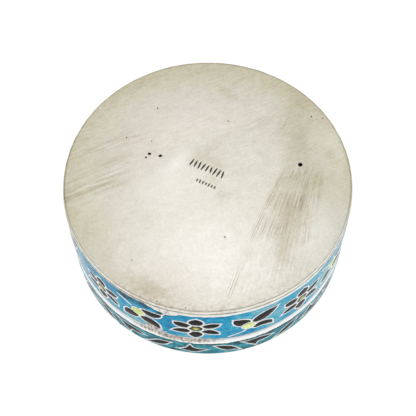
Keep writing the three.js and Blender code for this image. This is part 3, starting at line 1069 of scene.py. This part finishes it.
sheet_silver = silver("bright silver, filed and polished", "#f4f3ef", "#dcd9d1")
wire_silver = silver("silver wire between the glass", "#eef0f1", "#cfd2d3")
lid_wire_silver = silver("silver wire, filmed with glass", "#e9eded", "#9fb0b0")
FINISHES = [(sheet_silver, (silver_wall, silver_lid)), (lid_wire_silver, (wire_lid,)),
            (wire_silver, (wire_petals, wire_eyes, wire_stems, face_wire))]
for finish, pieces in FINISHES:
    for piece in pieces:
        piece.data.materials.append(finish)
        at = points_of(piece)
        angle, level_at = angle_of(at), at[:, 2]
        near_seam = 1.1 * bump(angle, -11, 12) + 0.35 * bump(angle, -28, 5)
        near_seam *= bump(level_at, MOUTH - 0.5, 1.0)
        patch = 0.75 * bump(angle, -22.5, 3.4) * bump(level_at, MOUTH + 1.6, 2.2)
        tongue = 0.3 * bump(angle, -17, 9) * step(level_at, EDGE_LEVEL - 2.0, 0.6)
        store(piece, "stain", np.maximum(np.maximum(near_seam, patch), tongue))
        # Painted shade: a band of bluish grey round the seam, on the base's wall and on the lid.
        store(piece, "painted_seam_shade", 0.8 * bump(level_at, MOUTH, 0.4) * (piece in (silver_wall, silver_lid)))
        store(piece, "shine", step(SEAM + 0.03 - level_at, 0, 0.05) * (piece == silver_lid))
print("silver pieces:", sum(len(pieces) for finish, pieces in FINISHES))

# %% [markdown]
# Vitreous enamel is coloured glass, ground, wetted, laid in and fired. It is glossy, a little uneven in
# colour where it lies thicker or thinner, and it has a smooth melted skin. A clear volume over silver would
# be nearer to real glass but slow and noisy, so the depth is given by tones that flow into each other. The
# light tent would lie on it as a white veil, so its glare is held far down, as a polarising filter does.

# %% Enamel recipe
GLASS_GLARE = 0.025


def enamel(name, stops, patch, rough=0.14, spread=0.8):
    """Glossy glass whose tones, (place, hex colour) from thick to thin, flow into each other in patches of
    the given size in mm. A stored attribute moves the tone at a point of the mesh: by the thickness of the
    glass, and on the walls also by painted shade and painted reflection."""
    made, tree, shader, place = material(name)
    flow = add(tree, "TexNoise", {"Vector": place}, Scale=per_mm(patch), Detail=4.0, Roughness=0.6,
               Distortion=0.8)
    thin_and_painted_light = add(tree, "Attribute", attribute_name="thin_and_painted_light").outputs["Fac"]
    amount = add(tree, "Math", {0: flow.outputs["Fac"], 2: thin_and_painted_light}, operation="MULTIPLY_ADD", _1=spread)
    tone = add(tree, "ValToRGB", {"Fac": amount.outputs[0]}, stops).outputs["Color"]
    tree.links.new(tone, shader.inputs["Base Color"])
    skin = add(tree, "TexNoise", {"Vector": place}, Scale=per_mm(1.4), Detail=2.0)
    relief = add(tree, "Bump", {"Height": skin.outputs["Fac"]}, Strength=0.2, Distance=0.00005)
    tree.links.new(relief.outputs[0], shader.inputs["Normal"])
    shader.inputs["Roughness"].default_value = rough
    shader.inputs["Specular IOR Level"].default_value = GLASS_GLARE
    return made


print("glare of the glass, as a share of the shader's usual 0.5:", GLASS_GLARE / 0.5)

# %% [markdown]
# On the turquoise wall the glass is thin and pale at the foot, and thick and deep in patches below the torn
# edge. Their places come from the real box, so they are a table of soft patches again, in mm round the wall
# from the front and in mm down from the underside. Painted light lies on the same tone: a painted reflection
# makes the right paler and greyer, and painted shade darkens the left and a narrow band under the upper edge.

# %% Turquoise enamel
THIN = [(-0.1, 2.8, 8.5, 1.2, 2.0, 0), (-0.17, -9.9, 2.2, 0.9, 0.8, 0), (-0.4, 23.5, 1.6, 2.0, 1.2, 0),
        (-0.28, -8.4, 2.9, 1.3, 0.35, 0), (-0.12, -4.6, 2.6, 1.2, 0.8, 0), (0.3, -13.5, 10.4, 3.5, 0.8, 0),
        (0.2, 8.6, 2.4, 1.6, 0.5, 0), (0.06, 0.5, 11.6, 4.0, 0.4, 0)]
DEEP = [(1, -13.0, 1.6, 3.6, 1.7, 0)]
TURQUOISE = [(0.0, "#0c2e30"), (0.08, "#004f64"), (0.18, "#0078a0"), (0.3, "#008ab6"), (0.42, "#2099bc"),
             (0.55, "#52a7be"), (0.7, "#80b4bd"), (0.9, "#a6c1c0")]
at = points_of(turquoise)
angle = angle_of(at)
plan, down = np.radians(angle) * RADIUS, TOP - at[:, 2]
# Painted shade: the glass right under the silver of the upper edge, near the front, is darkened.
painted_edge_shade = bump(at[:, 2] - base_top(angle), 0, 0.45) * step(6 - plan, 0, 2) * step(plan + 10, 0, 2)
thin_and_painted_light = 0.08 * waves(at, 9.0, 37) - 0.12 + patches(plan, down, THIN) - 0.2 * painted_edge_shade
# Painted reflection: the right of the wall is made paler and greyer, as if the glass mirrored the white tent.
thin_and_painted_light += 0.14 * step(plan, 9.0, 4.0) * step(40.0 - plan, 0, 8.0)
thin_and_painted_light += 0.12 * step(plan, 18.0, 3.0) * step(29.0 - plan, 0, 5.0)
# Painted shade: the left of the wall is made a little darker.
thin_and_painted_light -= 0.04 * step(-plan, 11.0, 4.0) * step(plan + 40.0, 0, 8.0)
thin_and_painted_light -= 0.27 * step(patches(plan, down, DEEP), 0.4, 0.4)
store(turquoise, "thin_and_painted_light", thin_and_painted_light)
turquoise.data.materials.append(enamel("turquoise vitreous enamel", TURQUOISE, 1.3, spread=1.05))
print("turquoise is thinned by", round(float(thin_and_painted_light.min()), 2), "to", round(float(thin_and_painted_light.max()), 2))

# %% [markdown]
# The lid's teal glass is darker, with small pale clouds, and a darker line under its upper edge, which is a
# painted shadow of the edge. Black glass fills petals and leaves, and yellow-green glass the buds. All four
# come from the one recipe, with other tones, patch sizes and gloss, so that they look fired together.

# %% Teal, black and yellow-green enamel
TEAL = [(0.12, "#07282c"), (0.3, "#085058"), (0.45, "#0b7788"), (0.62, "#2a90a2"), (0.85, "#8ab9b9")]
BLACK = [(0.25, "#050606"), (0.45, "#0b0c0c"), (0.65, "#171818")]
YELLOW_GREEN = [(0.25, "#b4c35c"), (0.42, "#cfdd88"), (0.6, "#e4edb8")]
at = points_of(teal)
# Painted shadow: a dark line under the upper edge of the teal glass.
painted_edge_shadow = bump(at[:, 2] - lid_top(angle_of(at)), 0, 0.35)
store(teal, "thin_and_painted_light", 0.16 * waves(at, 2.4, 33) - 0.08 - 0.35 * painted_edge_shadow)
store(sprig_buds, "thin_and_painted_light", 0.12 * step(TOP - points_of(sprig_buds)[:, 2], 6.8, 0.3))
teal_glass = enamel("teal vitreous enamel", TEAL, 0.7, spread=1.15)
black_glass = enamel("black vitreous enamel", BLACK, 1.2, rough=0.2)
yellow_glass = enamel("yellow-green vitreous enamel", YELLOW_GREEN, 0.9)
GLASSES = [(teal_glass, (teal, face_glass)), (black_glass, (black_base, black_lid, face_black)),
           (yellow_glass, (sprig_buds, face_bud))]
for glass, pieces in GLASSES:
    for piece in pieces:
        piece.data.materials.append(glass)
print("enamel pieces:", 1 + sum(len(pieces) for glass, pieces in GLASSES))

# %% [markdown]
# In the eye of each flower a drop of yellow-green glass has sunk into the black and spread, so its colour
# fades outwards. Two rings of mesh would have a hard border. So the share of the way from the middle to the
# rim is kept at each point of the mesh, and a ramp turns it into colour.

# %% Material: ringed eye
SUNK = [(0.22, "#d3da8c"), (0.45, "#a3aa55"), (0.8, "#4f5128"), (1.1, "#18180f")]
at = points_of(flower_eyes)
plan = np.radians(angle_of(at)) * RADIUS
middles = np.array([np.mean(k, 0) for k in eye_lines])
lap = 2 * np.pi * RADIUS
gaps = (plan[:, None] - middles[None, :, 0] + lap / 2) % lap - lap / 2
off = np.hypot(gaps, at[:, 2:] - middles[None, :, 1]).min(1)
store(flower_eyes, "from_middle", off / FLOWER_EYE)
eye, tree, shader, place = material("yellow-green enamel sunk into black")
middle_share = add(tree, "Attribute", attribute_name="from_middle").outputs["Fac"]
fleck = add(tree, "TexNoise", {"Vector": place}, Scale=per_mm(0.6)).outputs["Fac"]
spread = add(tree, "Math", {0: fleck, 2: middle_share}, operation="MULTIPLY_ADD", _1=0.3).outputs[0]
tree.links.new(add(tree, "ValToRGB", {"Fac": spread}, SUNK).outputs["Color"], shader.inputs["Base Color"])
shader.inputs["Roughness"].default_value = 0.15
shader.inputs["Specular IOR Level"].default_value = GLASS_GLARE
flower_eyes.data.materials.append(eye)
print("points of an eye lie up to", round(float(off.max()), 2), "mm from its middle")

# %% [markdown]
# Each new piece is listed under a slot name and moves with the one body of the model, and the plain solids
# that the new pieces stand for are hidden. Without these calls the new pieces would stand inside the plain
# solids.

# %% Tie the pieces to the frame
SLOTS = {
    "silver_underside": [plate],
    "silver_base": [silver_wall, wire_petals, wire_eyes, wire_stems],
    "enamel_turquoise": [turquoise, black_base, flower_eyes, sprig_buds],
    "silver_lid": [silver_lid, wire_lid, face_wire],
    "enamel_teal": [teal, black_lid],
    "enamel_lid_face": [face_glass, face_black, face_bud],
}
for name, pieces in SLOTS.items():
    for piece in pieces:
        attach(piece, "root")
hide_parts("base_underside_plate")
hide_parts("base_wall")
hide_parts("base_enamel_band")
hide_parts("lid_shell")
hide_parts("lid_enamel_band")
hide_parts("lid_face_enamel")
print("slots:", {name: len(pieces) for name, pieces in SLOTS.items()})

# %% [markdown]
# The photo was taken on plain white. A sheet that is only lit would show grey borders and shadows, so the
# floor is a wide sheet that glows, as on a light table. It belongs to the picture and not to the model.

# %% Floor
FLOOR, FLOOR_LEVEL, GLOW = 3.0, -2e-5, 0.96
floor_mesh = bpy.data.meshes.new("floor")
corners = [(x * FLOOR, y * FLOOR, FLOOR_LEVEL) for x, y in ((-1, -1), (1, -1), (1, 1), (-1, 1))]
floor_mesh.from_pydata(corners, [], [(0, 1, 2, 3)])
floor = bpy.data.objects.new("floor", floor_mesh)
bpy.context.collection.objects.link(floor)
paper, tree, shader, place = material("white light table")
shader.inputs["Base Color"].default_value = linear("#5a5a5a")
shader.inputs["Roughness"].default_value = 0.9
shader.inputs["Emission Color"].default_value = linear("#ffffff")
shader.inputs["Emission Strength"].default_value = GLOW
floor_mesh.materials.append(paper)
print("floor of", 2 * FLOOR, "m, glowing at", GLOW)

# %% [markdown]
# A light tent: white walls all round, a dimmer top, and two soft lamps. The metal of the underside mirrors
# the top of the tent, so the lamp behind the box brightens its middle and leaves its borders darker. The lamp
# at the front lights the glass alone: it stays out of reflections, as a polarised lamp does.

# %% Light
TENT_WALL, TENT_TOP = 1.0, 0.43
TOP_STARTS, TOP_FULL = 0.25, 0.8
world = bpy.data.worlds.new("tent")
world.use_nodes = True
sky = world.node_tree
outwards = add(sky, "TexCoord").outputs["Generated"]
direction = add(sky, "SeparateXYZ", {"Vector": outwards})
climb = add(sky, "MapRange", {"Value": direction.outputs["Z"]}, interpolation_type="SMOOTHSTEP",
            _1=TOP_STARTS, _2=TOP_FULL, _3=TENT_WALL, _4=TENT_TOP).outputs[0]
sky.links.new(climb, sky.nodes["Background"].inputs["Strength"])
sky.nodes["Background"].inputs["Color"].default_value = linear("#ffffff")
bpy.context.scene.world = world


def lamp(name, place, size, power):
    """A square area lamp at a place in metres, aimed at the box."""
    light = bpy.data.lights.new(name, "AREA")
    light.size, light.energy = size, power
    made = bpy.data.objects.new(name, light)
    bpy.context.collection.objects.link(made)
    made.location = place
    made.rotation_euler = (-made.location).to_track_quat("-Z", "Y").to_euler()
    return made


lamp("behind", (0.0, 0.23, 0.56), 0.16, 0.29)
glare_free = lamp("front_right", (0.30, -0.50, 0.40), 0.30, 0.8)
glare_free.visible_glossy = False
bpy.context.scene.view_settings.view_transform = "Standard"
bpy.context.scene.view_settings.look = "None"

# %% [markdown]
# The camera stands close above the front of the box and looks down on it. It is turned a little about its
# own axis, as a hand holds it. Its place and lens were worked out from the outline of the box in the photo,
# because a camera set by eye would make the box too long or too flat.

# %% Camera
CAMERA_PLACE = (0.0, -81.26, 158.06)
PITCH_DOWN = 61.451
ROLL = -0.797
LENS = 80.71
camera_data = bpy.data.cameras.new("camera")
camera_data.lens = LENS
camera_data.sensor_width = 36.0
camera_data.clip_start = 0.01
camera = bpy.data.objects.new("camera", camera_data)
bpy.context.collection.objects.link(camera)
aim = Matrix.Rotation(np.radians(90 - PITCH_DOWN), 4, "X") @ Matrix.Rotation(np.radians(ROLL), 4, "Z")
camera.matrix_world = Matrix.Translation([c * MM for c in CAMERA_PLACE]) @ aim
bpy.context.scene.camera = camera
print("camera", round(float(np.linalg.norm(CAMERA_PLACE))), "mm from the middle of the box's foot")
